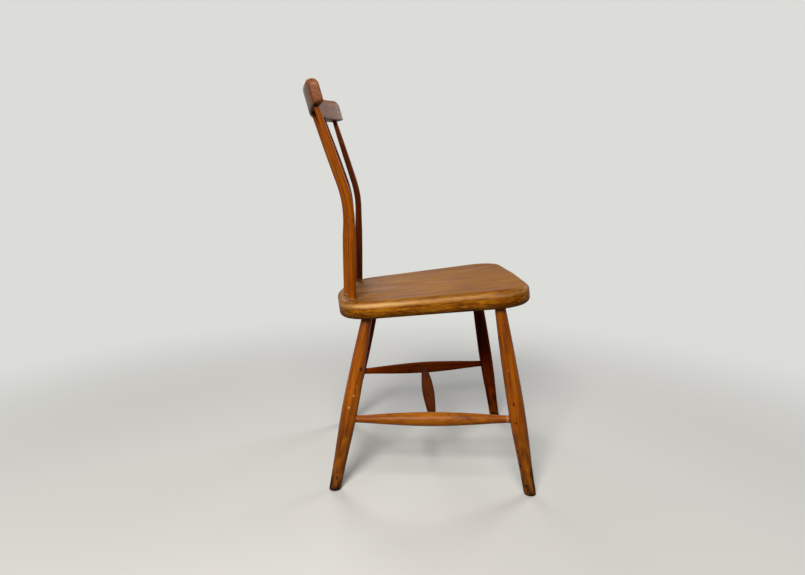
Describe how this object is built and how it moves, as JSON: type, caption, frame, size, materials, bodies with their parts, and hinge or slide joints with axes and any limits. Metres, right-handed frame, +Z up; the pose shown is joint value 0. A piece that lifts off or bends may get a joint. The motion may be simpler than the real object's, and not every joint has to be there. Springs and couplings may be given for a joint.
{
  "type": "stick-back chair",
  "caption": "Varnished wooden side chair: rounded plank seat on splayed turned legs with an H stretcher, bent back sticks and a curved crest rail.",
  "frame": {"origin": "on the floor, at the middle of the ground that the chair covers", "axes": "+X to the left hand of a person sitting in the chair, +Y toward the chair's back (the sitter faces -Y), +Z up"},
  "size_m": [0.4824, 0.5203, 0.899],
  "materials": {
    "seat_wood": "worn satin varnish",
    "turned_wood": "worn gloss varnish",
    "stick_wood": "worn gloss varnish",
    "rail_wood": "dulled satin varnish"
  },
  "bodies": {
    "root": {"seat": "seat_wood", "leg_front_left": "turned_wood", "leg_front_right": "turned_wood", "leg_rear_left": "turned_wood", "leg_rear_right": "turned_wood", "side_stretcher_left": "turned_wood", "side_stretcher_right": "turned_wood", "cross_stretcher": "turned_wood", "back_stick_1": "stick_wood", "back_stick_2": "stick_wood", "back_stick_3": "stick_wood", "back_stick_4": "stick_wood", "back_stick_5": "stick_wood", "crest_rail": "rail_wood"}
  },
  "joints": []
}
